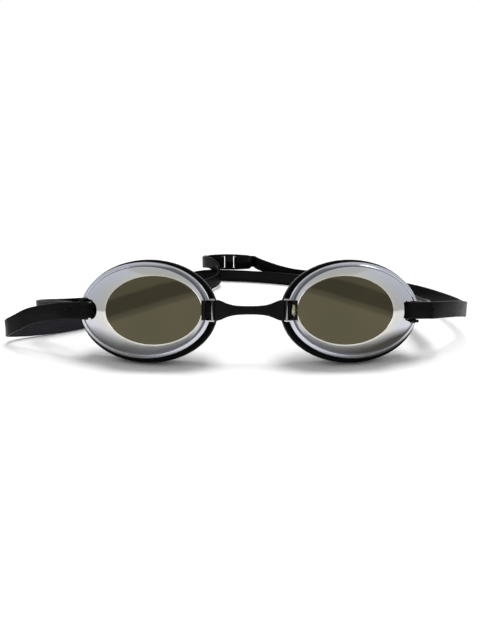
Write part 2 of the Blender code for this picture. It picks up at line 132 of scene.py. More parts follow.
# ---- How finely the stand-ins are built, and their small details.
OVAL_POINTS = 160
BEVEL_RINGS = 10
BEVEL_BULGE = 0.3 * MM
WINDOW_CROWN = 0.12 * MM
BAND_DETAIL = 3
FOLD_ROUNDING = 3.4 * MM  # how far along the rounded end comes up to full height
PIP_RADIUS = 0.6 * MM
PIP_RISE = 0.3 * MM
# The painted glint in the nasal pocket: a faceted champagne lump that stands in for light caught
# there.
GLINT_PLACE = Vector((3.25, -1.15, 0)) * MM
GLINT_HALF = (1.15, 0.6, 2.7)  # millimetres

# The strap's inner face is shaded greyer where it loops out on the wearer's right. This
# stands in for the paler light that the loop catches there; the silicone is one colour.
PAINTED_LIGHT_START = -50 * MM
PAINTED_LIGHT_FADE = 12 * MM

# Which listed point of each strand the front piece ends at (the first two are the start).
CUTS = {"left": {"outer": 5, "inner": 5}, "right": {"outer": 10, "inner": 8}}

# The lens flange, from its groove to its edge: how far in from the edge, and how far back.
FLANGE_PROFILE = [(1.8, 0.3), (1.5, 0.12), (1.1, 0.34), (0.7, 0.6), (0.35, 0.86), (0.1, 1.1)]

# ---- The viewpoint.
CAMERA_PLACE = Vector((-4.05, -234.37, 106.51)) * MM - ORIGIN
CAMERA_TURN = (math.radians(70), 0.0, 0.0)
FOCAL_LENGTH = 32.34

FRONT = (Matrix.Translation(-ORIGIN) @ Matrix.Translation((0, 0, BRIDGE_HEIGHT))
         @ Matrix.Rotation(-FRONT_TILT, 4, "X"))
DESIGN = Matrix.Translation(-ORIGIN)
SLIDER = DESIGN @ Matrix.Translation(SLIDER_PLACE) @ Matrix.Rotation(SLIDER_TURN, 4, "Z")


def cup_place(side):
    """From a cup's own frame (X out to the temple, -Y forwards) to the world."""
    turned = Matrix.Translation((side * HINGE_X, 0, 0)) @ Matrix.Rotation(side * CUP_YAW, 4, "Z")
    return FRONT @ turned @ Matrix.Diagonal((side, 1, 1, 1))


def temple_frame():
    return Matrix.Translation(BAR_CENTRE) @ Matrix.Rotation(BAR_SWEEP, 4, "Z")


# ---- Materials ---------------------------------------------------------------------------

def set_stops(ramp, stops):
    """Gives a colour ramp its stops, each a position and a colour."""
    elements = ramp.color_ramp.elements
    while len(elements) < len(stops):
        elements.new(0.5)
    for element, (place, colour) in zip(elements, stops):
        element.position = place
        element.color = (*colour, 1.0)


class Finish:
    """A Principled material, with helpers that add detail from procedural nodes."""

    def __init__(self, name, colour, roughness, metallic=0.0, specular=0.5, coat=0.0):
        self.material = bpy.data.materials.new(name)
        self.material.use_nodes = True
        self.nodes = self.material.node_tree.nodes
        self.links = self.material.node_tree.links
        self.shader = self.nodes["Principled BSDF"]
        self.shader.inputs["Base Color"].default_value = (*colour, 1.0)
        self.shader.inputs["Roughness"].default_value = roughness
        self.shader.inputs["Metallic"].default_value = metallic
        self.shader.inputs["Specular IOR Level"].default_value = specular
        self.shader.inputs["Coat Weight"].default_value = coat
        self.shader.inputs["Coat Roughness"].default_value = 0.06
        self.coordinates = self.nodes.new("ShaderNodeTexCoord").outputs["Object"]

    def noise(self, scale, detail, vector=None):
        node = self.nodes.new("ShaderNodeTexNoise")
        node.inputs["Scale"].default_value = scale
        node.inputs["Detail"].default_value = detail
        self.links.new(vector or self.coordinates, node.inputs["Vector"])
        return node.outputs["Fac"]

    def attribute(self, name):
        node = self.nodes.new("ShaderNodeAttribute")
        node.attribute_name = name
        return node.outputs["Fac"]

    def ramp(self, factor, stops):
        node = self.nodes.new("ShaderNodeValToRGB")
        node.color_ramp.interpolation = "EASE"
        set_stops(node, stops)
        self.links.new(factor, node.inputs["Fac"])
        return node.outputs["Color"]

    def mapped(self, factor, low, high):
        node = self.nodes.new("ShaderNodeMapRange")
        node.inputs["From Min"].default_value = 0.3
        node.inputs["From Max"].default_value = 0.7
        node.inputs["To Min"].default_value = low
        node.inputs["To Max"].default_value = high
        self.links.new(factor, node.inputs["Value"])
        return node.outputs["Result"]

    def stretched(self, along, across):
        """Coordinates from the strap's own length and width, so that grain runs lengthwise."""
        node = self.nodes.new("ShaderNodeCombineXYZ")
        for attribute, scale, socket in (("along", along, "X"), ("across", across, "Y")):
            multiply = self.nodes.new("ShaderNodeMath")
            multiply.operation = "MULTIPLY"
            multiply.inputs[1].default_value = scale
            self.links.new(self.attribute(attribute), multiply.inputs[0])
            self.links.new(multiply.outputs[0], node.inputs[socket])
        return node.outputs["Vector"]

    def colour(self, output):
        self.links.new(output, self.shader.inputs["Base Color"])

    def roughness(self, output):
        self.links.new(output, self.shader.inputs["Roughness"])

    def bump(self, height, distance, strength):
        node = self.nodes.new("ShaderNodeBump")
        node.inputs["Strength"].default_value = strength
        node.inputs["Distance"].default_value = distance
        self.links.new(height, node.inputs["Height"])
        previous = self.shader.inputs["Normal"].links
        if previous:
            self.links.new(previous[0].from_socket, node.inputs["Normal"])
        self.links.new(node.outputs["Normal"], self.shader.inputs["Normal"])


def make_window_tint_and_reflection():
    """Olive-bronze mirror on the flat of the lens. The olive tint is the coating's own; its
    darkness is partly a painted reflection of the dim surroundings that the flat mirrors.
    """
    finish = Finish("window_mirror", (0.23, 0.21, 0.15), 0.03, metallic=1.0)
    cloud = finish.noise(38, 2)
    finish.colour(finish.ramp(cloud, [(0.3, (0.236, 0.218, 0.142)), (0.7, (0.262, 0.236, 0.15))]))
    finish.roughness(finish.mapped(finish.noise(160, 4), 0.02, 0.04))
    finish.bump(finish.noise(60, 2), 0.00002, 0.25)
    return finish.material


def make_bevel_coat():
    """Silver mirror on the sloping sides: warmer by the window, bluer by the rim."""
    finish = Finish("bevel_mirror", (0.7, 0.7, 0.74), 0.1, metallic=1.0)
    tone = finish.ramp(finish.attribute("spread"), [
        (0.0, (0.63, 0.615, 0.56)), (0.16, (0.57, 0.57, 0.54)),
        (0.55, (0.54, 0.55, 0.585)), (1.0, (0.54, 0.55, 0.60)),
    ])
    finish.colour(tone)
    finish.roughness(finish.mapped(finish.noise(120, 3), 0.07, 0.13))
    finish.bump(finish.noise(45, 2), 0.00004, 0.3)
    return finish.material


def make_edge_coat():
    """The moulded flange and lip: clear-edged silver, a little brighter and duller."""
    finish = Finish("rim_silver", (0.62, 0.63, 0.7), 0.2, metallic=0.9, coat=0.3)
    finish.colour(finish.ramp(finish.noise(70, 3), [
        (0.3, (0.55, 0.56, 0.63)), (0.7, (0.7, 0.71, 0.78)),
    ]))
    finish.roughness(finish.mapped(finish.noise(220, 3), 0.18, 0.3))
    return finish.material


def make_smoke_plastic():
    """The tinted inside of the lens."""
    finish = Finish("smoked_inside", (0.03, 0.028, 0.022), 0.18)
    finish.colour(finish.ramp(finish.noise(50, 3), [
        (0.3, (0.022, 0.02, 0.014)), (0.7, (0.04, 0.037, 0.026)),
    ]))
    finish.roughness(finish.mapped(finish.noise(180, 3), 0.12, 0.26))
    return finish.material


def make_painted_glint_finish():
    # Painted glint: bright champagne metal, mottled pale and dark, for the light caught in the
    # nasal pocket.
    finish = Finish("champagne_painted_glint", (0.8, 0.76, 0.55), 0.2, metallic=0.9)
    finish.colour(finish.ramp(finish.noise(900, 2), [
        (0.3, (0.35, 0.33, 0.2)), (0.7, (0.95, 0.92, 0.7)),
    ]))
    finish.bump(finish.noise(1200, 2), 0.0003, 0.6)
    return finish.material


def make_gasket_silicone():
    finish = Finish("soft_silicone", (0.002, 0.002, 0.0023), 0.26, specular=0.035)
    finish.colour(finish.ramp(finish.noise(90, 4), [
        (0.3, (0.0012, 0.0012, 0.0014)), (0.7, (0.003, 0.003, 0.0034)),
    ]))
    finish.roughness(finish.mapped(finish.noise(400, 4), 0.24, 0.38))
    finish.bump(finish.noise(2600, 3), 0.00003, 0.25)
    return finish.material


def make_strap_silicone():
    """Black silicone strip: fine lengthwise moulding lines over a soft satin. Where the attribute
    'inner' is set, the inner face is painted a paler grey, as painted light that the loop catches
    there; the silicone itself is one colour."""
    finish = Finish("strap_silicone", (0.003, 0.003, 0.0035), 0.3, specular=0.07)
    lines = finish.noise(1.0, 3, finish.stretched(60, 9))
    outer = finish.ramp(lines, [
        (0.25, (0.0012, 0.0012, 0.0014)), (0.75, (0.0038, 0.0038, 0.0046)),
    ])
    # Painted light: the paler grey ramp laid on the inner face where the loop catches the light.
    inner = finish.ramp(lines, [
        (0.25, (0.022, 0.022, 0.027)), (0.75, (0.036, 0.036, 0.043)),
    ])
    faces = finish.nodes.new("ShaderNodeMix")
    faces.data_type = "RGBA"
    finish.links.new(finish.attribute("inner"), faces.inputs["Factor"])
    finish.links.new(outer, faces.inputs["A"])
    finish.links.new(inner, faces.inputs["B"])
    finish.colour(faces.outputs["Result"])
    finish.roughness(finish.mapped(finish.noise(300, 4), 0.24, 0.38))
    finish.bump(lines, 0.00005, 0.35)
    finish.bump(finish.noise(3000, 2), 0.00002, 0.2)
    return finish.material


def make_bridge_rubber():
    finish = Finish("bridge_rubber", (0.004, 0.0036, 0.004), 0.46, specular=0.12)
    finish.colour(finish.ramp(finish.noise(120, 4), [
        (0.3, (0.003, 0.0027, 0.003)), (0.7, (0.0058, 0.0052, 0.0058)),
    ]))
    finish.roughness(finish.mapped(finish.noise(500, 4), 0.42, 0.56))
    finish.bump(finish.noise(3500, 3), 0.00004, 0.3)
    return finish.material


def make_black_plastic():
    finish = Finish("black_plastic", (0.003, 0.003, 0.0035), 0.22, specular=0.1, coat=0.04)
    finish.colour(finish.ramp(finish.noise(140, 4), [
        (0.3, (0.0018, 0.0018, 0.002)), (0.7, (0.0045, 0.0045, 0.0052)),
    ]))
    finish.roughness(finish.mapped(finish.noise(350, 4), 0.2, 0.36))
    finish.bump(finish.noise(2800, 3), 0.00003, 0.2)
    return finish.material


# ---- Mesh helpers ------------------------------------------------------------------------

def finish_mesh(name, bm, materials, place, sharp=35):
    """Makes an object from bm, moved by place, with its faces turned outwards."""
    bmesh.ops.transform(bm, matrix=place, verts=bm.verts)
    bmesh.ops.recalc_face_normals(bm, faces=bm.faces)
    mesh = bpy.data.meshes.new(name)
    bm.to_mesh(mesh)
    bm.free()
    for material in materials:
        mesh.materials.append(material)
    mesh.shade_smooth()
    mesh.set_sharp_from_angle(angle=math.radians(sharp))
    made = bpy.data.objects.new(name, mesh)
    bpy.context.scene.collection.objects.link(made)
    return made


def bake_modifiers(obj, sharp=35):
    """Replaces the object's mesh by what its modifiers make of it."""
    graph = bpy.context.evaluated_depsgraph_get()
    mesh = bpy.data.meshes.new_from_object(obj.evaluated_get(graph))
    obj.modifiers.clear()
    obj.data = mesh
    mesh.shade_smooth()
    mesh.set_sharp_from_angle(angle=math.radians(sharp))


def carve(target, bm, place, operation="DIFFERENCE", zone=0):
    """Cuts bm's shape from the target, or joins it. New faces get material number zone."""
    for face in bm.faces:
        face.material_index = zone
    cutter = finish_mesh("cutter", bm, [], place)
    for material in target.data.materials:
        cutter.data.materials.append(material)
    modifier = target.modifiers.new("cut", "BOOLEAN")
    modifier.operation = operation
    modifier.solver = "EXACT"
    modifier.object = cutter
    bpy.context.view_layer.update()
    bake_modifiers(target)
    bpy.data.objects.remove(cutter)


def as_cutter(obj):
    """The object's mesh, ready to carve with. The object itself goes."""
    bm = bmesh.new()
    bm.from_mesh(obj.data)
    bpy.data.objects.remove(obj)
    return bm


def soften(obj, width):
    """Rounds the sharp edges of a hard moulded part."""
    modifier = obj.modifiers.new("soften", "BEVEL")
    modifier.width = width
    modifier.segments = 2
    modifier.limit_method = "ANGLE"
    modifier.angle_limit = math.radians(35)
    bpy.context.view_layer.update()
    bake_modifiers(obj, sharp=50)


def block(low, high, place=Matrix.Identity(4)):
    size = Vector(high) - Vector(low)
    middle = (Vector(high) + Vector(low)) / 2
    bm = bmesh.new()
    scaled = Matrix.Translation(middle) @ Matrix.Diagonal((*size, 1))
    bmesh.ops.create_cube(bm, size=1, matrix=place @ scaled)
    return bm


def smooth_path(points, steps):
    """A Catmull-Rom curve through vectors of any length."""
    ends = [2 * points[0] - points[1], *points, 2 * points[-1] - points[-2]]
    path = []
    for index in range(1, len(ends) - 2):
        before, start, end, after = ends[index - 1:index + 3]
        for step in range(steps):
            t = step / steps
            path.append(0.5 * (
                2 * start + (end - before) * t
                + (2 * before - 5 * start + 4 * end - after) * t ** 2
                + (3 * start - before - 3 * end + after) * t ** 3
            ))
    path.append(points[-1])
    return path


def oval(centre, half, depth, drop=0.0, slope=RIM_SLOPE):
    """One ring of points in a cup's frame, as in the CAD but finer."""
    nasal = CUP_CENTRE + RIM_SHIFT - RIM_HALF[0]
    points = []
    for step in range(OVAL_POINTS):
        angle = 2 * math.pi * step / OVAL_POINTS
        across = CUP_CENTRE + centre + half[0] * math.cos(angle)
        forward = depth - slope * (across - nasal)
        points.append(Vector((across, -forward, half[1] * math.sin(angle) - drop)))
    return points


def inset(half, amount):
    return (half[0] - amount, half[1] - amount)


def skin(bm, rings, zones, spreads=None, joined=False):
    """Skins the rings in order. zones gives each band's material number, and spreads each
    ring's value of the attribute "spread"."""
    layer = bm.verts.layers.float.new("spread") if spreads else None
    loops = []
    for number, ring in enumerate(rings):
        loop = [bm.verts.new(point) for point in ring]
        if spreads:
            for vert in loop:
                vert[layer] = spreads[number]
        loops.append(loop)
    pairs = list(zip(loops, loops[1:]))
    if joined:
        pairs.append((loops[-1], loops[0]))
    for (near, far), zone in zip(pairs, zones):
        for step in range(len(near)):
            after = (step + 1) % len(near)
            face = bm.faces.new((near[step], near[after], far[after], far[step]))
            face.material_index = zone
    return loops


# ---- Lens --------------------------------------------------------------------------------

WINDOW, BEVEL, EDGE, INSIDE, GLINT = range(5)


def between(first, second, share, bulge=0.0):
    """The ring part of the way from one to the next, swelled forwards."""
    lift = Vector((0, -bulge * 4 * share * (1 - share), 0))
    return [a.lerp(b, share) + lift for a, b in zip(first, second)]


def lens_outside():
    rings, zones, spreads = [], [], []

    def add(ring, zone, spread):
        rings.append(ring)
        zones.append(zone)
        spreads.append(spread)

    for share in (0.08, 0.3, 0.55, 0.8, 0.95):
        crown = WINDOW_CROWN * (1 - share ** 2)
        half = (FLAT_HALF[0] * share, FLAT_HALF[1] * share)
        add(oval(FLAT_SHIFT, half, FLAT_FORWARD + crown, slope=0), WINDOW, 0.0)
    add(oval(FLAT_SHIFT, inset(FLAT_HALF, 0.25 * MM), FLAT_FORWARD, slope=0), WINDOW, 0.0)
    add(oval(FLAT_SHIFT, inset(FLAT_HALF, 0.12 * MM), FLAT_FORWARD - 0.1 * MM, slope=0), BEVEL, 0.0)
    add(oval(FLAT_SHIFT, inset(FLAT_HALF, 0.0), FLAT_FORWARD + 0.02 * MM, slope=0), BEVEL, 0.0)
    inner = oval(FLAT_SHIFT, inset(FLAT_HALF, -0.3 * MM), FLAT_FORWARD - 0.18 * MM, slope=0)
    outer = oval(RIM_SHIFT, inset(RIM_HALF, FLANGE_WIDTH + 0.35 * MM), RIM_FACE)
    for step in range(BEVEL_RINGS):
        share = step / BEVEL_RINGS
        add(between(inner, outer, share, BEVEL_BULGE), BEVEL, share)
    add(outer, BEVEL, 1.0)
    for inward, back in FLANGE_PROFILE:
        add(oval(RIM_SHIFT, inset(RIM_HALF, inward * MM), RIM_FACE - back * MM), BEVEL, 1.0)
    add(oval(RIM_SHIFT, RIM_HALF, RIM_FACE - 1.3 * MM), EDGE, 1.0)
    add(oval(RIM_SHIFT, RIM_HALF, RIM_BACK + 0.15 * MM), EDGE, 1.0)
    add(oval(RIM_SHIFT, inset(RIM_HALF, 0.15 * MM), RIM_BACK), INSIDE, 1.0)
    add(oval(RIM_SHIFT, inset(RIM_HALF, SKIRT_INSET), RIM_BACK), INSIDE, 1.0)
    add(oval(RIM_SHIFT, inset(RIM_HALF, SKIRT_INSET), SKIRT_BACK), INSIDE, 1.0)
    bm = bmesh.new()
    loops = skin(bm, rings, zones, spreads)
    bm.faces.new(loops[0]).material_index = WINDOW
    bm.faces.new(loops[-1]).material_index = INSIDE
    return bm


def lens_inside():
    mouth = inset(RIM_HALF, SKIRT_INSET + LENS_WALL)
    bm = bmesh.new()
    loops = skin(bm, [
        oval(FLAT_SHIFT, inset(FLAT_HALF, 1.1 * MM), FLAT_FORWARD - LENS_WALL, slope=0),
        oval(RIM_SHIFT, mouth, RIM_FACE - 1.5 * MM),
        oval(RIM_SHIFT, mouth, SKIRT_BACK - 2 * MM),
    ], [INSIDE, INSIDE])
    bm.faces.new(loops[0])
    bm.faces.new(loops[-1])
    return bm


def recess_shape(far, floor, rounded):
    """The temple recess, opening wider to the front. Its nasal end is a half round, or
    square with a narrower notch for the strap's tab."""
    slot = SLOT_HALF_HEIGHT
    tip = -FOLD_END - 0.35 * MM
    if rounded:
        radius = slot - 0.2 * MM
        outline = [(far, slot)]
        for step in range(13):
            angle = math.radians(90 + 15 * step)
            outline.append((tip + radius + radius * math.cos(angle), slot * math.sin(angle)))
        outline.append((far, -slot))
    else:
        tab, step_in = 2.75 * MM, tip + 1.35 * MM
        outline = [(far, slot), (step_in, slot), (step_in, tab), (tip, tab), (tip, -tab),
                   (step_in, -tab), (step_in, -slot), (far, -slot)]
    rings = []
    flare = (4.5 * MM, 1.5 * MM) if rounded else (0.3 * MM, 0.0)
    for out, widen in ((-far, flare[0]), (-FOLD_RADIUS, flare[1]), (0.0, 0.0), (floor, 0.0)):
        rings.append([
            Vector((along - (widen if along < 0 else 0), out, high)) for along, high in outline
        ])
    bm = bmesh.new()
    closed_loft(bm, rings)
    bmesh.ops.transform(bm, matrix=temple_frame(), verts=bm.verts)
    return bm


def make_lens(label, side, rail_side, materials):
    """The lens shell, with its nasal pocket, temple recess and the bar across each."""
    place = cup_place(side)
    temple = temple_frame()
    pocket_in = CUP_CENTRE + FLAT_SHIFT - FLAT_HALF[0] + 0.1 * MM
    rim_nose = CUP_CENTRE + RIM_SHIFT - RIM_HALF[0]
    half = POCKET_HALF_HEIGHT
    slot = SLOT_HALF_HEIGHT
    wall = 0.95 * MM
    far = 12 * MM
    floor = FOLD_RADIUS + STRAP_THICK / 2 + 0.4 * MM
    rail_room = RAIL_HEIGHT + 0.3 * MM

    lens = finish_mesh(f"{label}_lens_shell", lens_outside(), materials, place)
    cavity = finish_mesh("cavity", lens_inside(), [], place)
    nose_box = block((-5 * MM, -far, -half - wall),
                     (pocket_in + wall, -POCKET_FLOOR + wall, half + wall))
    carve(cavity, nose_box, place)
    low = -slot - wall - (rail_room if rail_side < 0 else 0)
    high = slot + wall + (rail_room if rail_side > 0 else 0)
    nasal_end = -FOLD_END - 1.4 * MM
    if side < 0:
        nasal_end -= 2.6 * MM  # the rounded recess flares wider
    temple_box = block((nasal_end, -far, low), (far, floor + wall, high), temple)
    carve(cavity, temple_box, place)
    carve(lens, as_cutter(cavity), Matrix.Identity(4), zone=INSIDE)

    lug = block((-0.8 * MM, -1.3 * MM, -half - 0.7 * MM),
                (rim_nose + 1.2 * MM, -RIM_BACK - 0.06 * MM, half + 0.7 * MM))
    bmesh.ops.bevel(lug, geom=lug.edges[:], offset=0.3 * MM, segments=2, affect="EDGES",
                    profile=0.5)
    carve(lens, lug, place, "UNION", zone=EDGE)
    bar = LATCH_BAR[0] / 2
    latch_low = (-bar, -LATCH_FORWARD - LATCH_BAR[1] / 2, -2 * half)
    latch_high = (bar, -LATCH_FORWARD + LATCH_BAR[1] / 2, 2 * half)
    pocket_box = block((-3 * MM, -far, -half), (pocket_in, -POCKET_FLOOR, half))
    pocket = finish_mesh("pocket", pocket_box, [], place)
    carve(pocket, block(latch_low, latch_high), place)
    carve(lens, as_cutter(pocket), Matrix.Identity(4), zone=INSIDE)

    recess = finish_mesh("recess", recess_shape(far, floor, rounded=side < 0), [], place)
    bar_low = (-BAR_HALF[0], -BAR_HALF[1], -2 * slot)
    bar_high = (BAR_HALF[0], BAR_HALF[1], 2 * slot)
    carve(recess, block(bar_low, bar_high, temple), place)
    carve(lens, as_cutter(recess), Matrix.Identity(4), zone=INSIDE)
    edges = sorted((rail_side * (slot - 0.5 * MM), rail_side * (slot + RAIL_HEIGHT + 0.25 * MM)))
    notch = block((1.35 * MM, -far, edges[0]), (far, floor - 0.1 * MM, edges[1]), temple)
    carve(lens, notch, place, zone=EDGE)
    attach(lens, f"{label}_cup")
    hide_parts(f"{label}_lens")


def make_glint_lump(label, side, material):
    """A faceted lump of champagne metal on the nasal pocket's inner wall, in front of the bridge's
    tongue and clear of it however the cup turns. It is a painted glint: it stands in for the light
    caught in the pocket there."""
    bm = bmesh.new()
    bmesh.ops.create_icosphere(bm, subdivisions=2, radius=1.0)
    for vert in bm.verts:
        wobble = 1 + 0.16 * math.sin(7 * vert.co.x + 5 * vert.co.z) * math.cos(6 * vert.co.z)
        stretched = Vector([value * half for value, half in zip(vert.co, GLINT_HALF)])
        vert.co = stretched * MM * wobble
    place = cup_place(side) @ Matrix.Translation(GLINT_PLACE)
    lump = finish_mesh(f"{label}_pocket_painted_glint", bm, [material], place, sharp=4)
    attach(lump, f"{label}_cup")


# ---- Gasket ------------------------------------------------------------------------------

def make_gasket(label, side, material):
    """A soft rounded cup of silicone, gripping the lens skirt in a groove."""
    groove = inset(RIM_HALF, SKIRT_INSET - GAP)
    front = RIM_BACK - GAP
    behind_skirt = SKIRT_BACK - GAP
    wide = GASKET_HALF

    def line(shift, half, depth, drop):
        return Vector((shift, *half, depth, drop))

    outside = smooth_path([
        line(RIM_SHIFT, groove, front, 0.0),
        line(1.4 * MM, inset(wide, 1.1 * MM), front, 0.3 * MM),
        line(GASKET_SHIFT, inset(wide, 0.3 * MM), front - 0.8 * MM, GASKET_DROP),
        line(GASKET_SHIFT, wide, front - 2.2 * MM, GASKET_DROP),
        line(GASKET_SHIFT, wide, front - 4.4 * MM, GASKET_DROP),
        line(GASKET_SHIFT, inset(wide, 0.7 * MM), front - 6.6 * MM, GASKET_DROP),
        line(GASKET_SHIFT, inset(wide, 2.2 * MM), front - 8.2 * MM, GASKET_DROP),
        line(GASKET_SHIFT, inset(wide, 4.2 * MM), front - 8.6 * MM, GASKET_DROP),
        line(1.3 * MM, inset(wide, 5.6 * MM), front - 7.4 * MM, 0.3 * MM),
        line(1.5 * MM, inset(wide, 5.3 * MM), behind_skirt - 1.2 * MM, 0.2 * MM),
        line(RIM_SHIFT, inset(RIM_HALF, SKIRT_INSET + 1.5 * MM), behind_skirt, 0.0),
    ], 4)
    profile = outside + [line(RIM_SHIFT, groove, behind_skirt, 0.0)]
    rings = [
        oval(shift, (wide_x, wide_z), depth, drop)
        for shift, wide_x, wide_z, depth, drop in profile
    ]
    bm = bmesh.new()
    skin(bm, rings, [0] * len(rings), joined=True)
    gasket = finish_mesh(f"{label}_face_gasket", bm, [material], cup_place(side), sharp=50)
    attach(gasket, f"{label}_cup")
    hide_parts(f"{label}_gasket")


# ---- Nose bridge -------------------------------------------------------------------------

def rounded_section(across, half_height, front, back, corner):
    """A rounded rectangle facing along X."""
    corner = min(corner, half_height * 0.98, (back - front) * 0.49)
    steps = 5
    ring = []
    for depth, height, start in (
        (back - corner, half_height - corner, 0), (front + corner, half_height - corner, 90),
        (front + corner, corner - half_height, 180), (back - corner, corner - half_height, 270),
    ):
        for step in range(steps + 1):
            angle = math.radians(start + 90 * step / steps)
            y = depth + corner * math.cos(angle)
            z = height + corner * math.sin(angle)
            ring.append(Vector((across, y, z)))
    return ring


def closed_loft(bm, rings):
    """Skins the rings in order and closes both ends."""
    loops = skin(bm, rings, [0] * len(rings))
    bm.faces.new(loops[0])
    bm.faces.new(loops[-1])


def make_bridge(material):
    """The bow-tie bridge: a slim rounded waist, swelling into an end block at each side, and
    ridged tongues that reach behind the latch bars."""
    stations = [Vector(item) * MM for item in (
        (0.0, 1.85, -1.2, 0.9), (3.0, 1.9, -1.2, 0.9), (6.0, 2.12, -1.24, 0.9),
        (8.2, 2.55, -1.28, 0.9), (10.0, 3.15, -1.3, 0.9), (11.4, 3.75, -1.3, 0.9),
        (12.6, 4.25, -1.3, 0.9), (13.6, 4.48, -1.3, 0.9), (14.4, 4.5, -1.3, 0.9),
        (14.8, 4.4, -1.24, 0.85), (14.98, 4.15, -1.1, 0.75),
    )]
    fine = smooth_path(stations, 4)
    both = [Vector((-one[0], *one[1:])) for one in reversed(fine[1:])] + fine
    bm = bmesh.new()
    closed_loft(bm, [rounded_section(*one, corner=0.8 * MM) for one in both])
    tongue_half = POCKET_HALF_HEIGHT - 0.65 * MM
    ridges = [
        (14.7, 0, 0.15), (15.6, 0, 0.15), (15.8, 0, -0.1), (16.1, 0, -0.1), (16.3, 0, 0.15),
        (16.8, 0, 0.15), (17.0, 0, -0.35), (17.6, 0, -0.35), (17.9, 0, 0.1), (18.4, 0.1, 0.1),
        (18.9, 0.3, 0.2), (TONGUE_TIP / MM, 0.8, 0.5),
    ]
    for side in (-1, 1):
        rings = [
            rounded_section(side * along * MM, tongue_half - less * MM, face * MM,
                            back=1.2 * MM, corner=0.3 * MM)
            for along, less, face in ridges
        ]
        closed_loft(bm, rings)
    bridge = finish_mesh("flexible_bridge", bm, [material], FRONT, sharp=40)
    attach(bridge, "bridge")
    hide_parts("nose_bridge")


# ---- Strap -------------------------------------------------------------------------------

def strap_section():
    """The strap's cross-section, as (up, out) in metres, going round once."""
    half_height = STRAP_WIDTH / 2
    half_thick = STRAP_THICK / 2
    corner = 0.5 * MM
    points = []
    for up, out, start in (
        (half_height - corner, half_thick - corner, 0),
        (corner - half_height, half_thick - corner, 90),
        (corner - half_height, corner - half_thick, 180),
        (half_height - corner, corner - half_thick, 270),
    ):
        for step in range(5):
            angle = math.radians(start + 22.5 * step)
            points.append((up + corner * math.cos(angle), out + corner * math.sin(angle)))
    return points


def z_up(points, leans):
    """The strap's upward direction at each point: vertical, then leaned over to the right."""
    ups = []
    for index, (point, lean) in enumerate(zip(points, leans)):
        ahead = points[min(index + 1, len(points) - 1)]
        behind = points[max(index - 1, 0)]
        tangent = (ahead - behind).normalized()
        up = Vector((0, 0, 1)) - tangent * tangent.z
        up.normalize()
        right = tangent.cross(up)
        ups.append(up * math.cos(lean) + right * math.sin(lean))
    return ups


class Path:
    """Points of a strap's centre line, each with the direction of its top edge."""

    def __init__(self, points, ups):
        self.points = points
        self.ups = ups

    def __add__(self, other):
        return Path(self.points + other.points, self.ups + other.ups)

    def part(self, start=None, end=None):
        return Path(self.points[start:end], self.ups[start:end])

    def turned(self):
        return Path(self.points[::-1], self.ups[::-1])


def sweep(name, path, material, heights=None, pips=(), face=1):
    """Skins the strap's section along the path. heights may narrow it, ring by ring, and
    pips are the points of the path that carry a small moulded pip on the given face."""
    heights = heights or [1.0] * len(path.points)
    joined = [
        Vector((*point, *up, tall)) for point, up, tall in zip(path.points, path.ups, heights)
    ]
    fine = smooth_path(joined, BAND_DETAIL)
    section = strap_section()
    bm = bmesh.new()
    along_layer = bm.verts.layers.float.new("along")
    across_layer = bm.verts.layers.float.new("across")
    inner_light_layer = bm.verts.layers.float.new("inner")
    loops = []
    travelled = 0.0
    pip_rings = [number * BAND_DETAIL for number in pips]
    for index, item in enumerate(fine):
        here = Vector(item[:3])
        ahead = Vector(fine[min(index + 1, len(fine) - 1)][:3])
        behind = Vector(fine[max(index - 1, 0)][:3])
        tangent = (ahead - behind).normalized()
        up = Vector(item[3:6])
        up = (up - tangent * up.dot(tangent)).normalized()
        out = tangent.cross(up)
        travelled += (here - behind).length
        # Painted light on the inner face: none until the strap passes the start, then rising over
        # the fade to full; the outer face stays black.
        painted_light = min(1.0, max(0.0, (PAINTED_LIGHT_START - here.x) / PAINTED_LIGHT_FADE))
        loop = []
        for high, wide in section:
            vert = bm.verts.new(here + up * high * item[6] + out * wide)
            vert[along_layer] = travelled
            vert[across_layer] = high / STRAP_WIDTH + (0.6 if wide > 0 else 0.0)
            vert[inner_light_layer] = painted_light if wide * face < 0 else 0.0
            loop.append(vert)
        loops.append(loop)
        if index in pip_rings:
            middle = here + out * face * STRAP_THICK / 2 + up * PIP_RISE
            bmesh.ops.create_uvsphere(bm, u_segments=16, v_segments=10, radius=PIP_RADIUS,
                                      matrix=Matrix.Translation(middle))
    for near, far in zip(loops, loops[1:]):
        for step in range(len(near)):
            after = (step + 1) % len(near)
            bm.faces.new((near[step], near[after], far[after], far[step]))
    bm.faces.new(loops[0])
    bm.faces.new(loops[-1])
    return finish_mesh(name, bm, [material], Matrix.Identity(4), sharp=50)


def fold_path(side):
    """Round the temple bar, in over its front and out behind it, in world space."""
    frame_at = temple_frame()
    reach = 9.0 * MM
    local = [(reach, -FOLD_RADIUS), (reach * 0.75, -FOLD_RADIUS), (reach / 2, -FOLD_RADIUS),
             (reach * 0.2, -FOLD_RADIUS)]
    arc_steps = 8
    for step in range(arc_steps + 1):
        angle = math.pi * step / arc_steps
        local.append((FOLD_CENTRE - FOLD_RADIUS * math.sin(angle), -FOLD_RADIUS * math.cos(angle)))
    local += [(reach * 0.2, FOLD_RADIUS), (reach / 2, FOLD_RADIUS), (reach - 0.8 * MM, FOLD_RADIUS)]
    place = cup_place(side)
    points = [place @ frame_at @ Vector((along, out, 0.0)) for along, out in local]
    up = (place.to_3x3() @ Vector((0, 0, 1))).normalized()
    return Path(points, [up.copy() for _ in points]), local


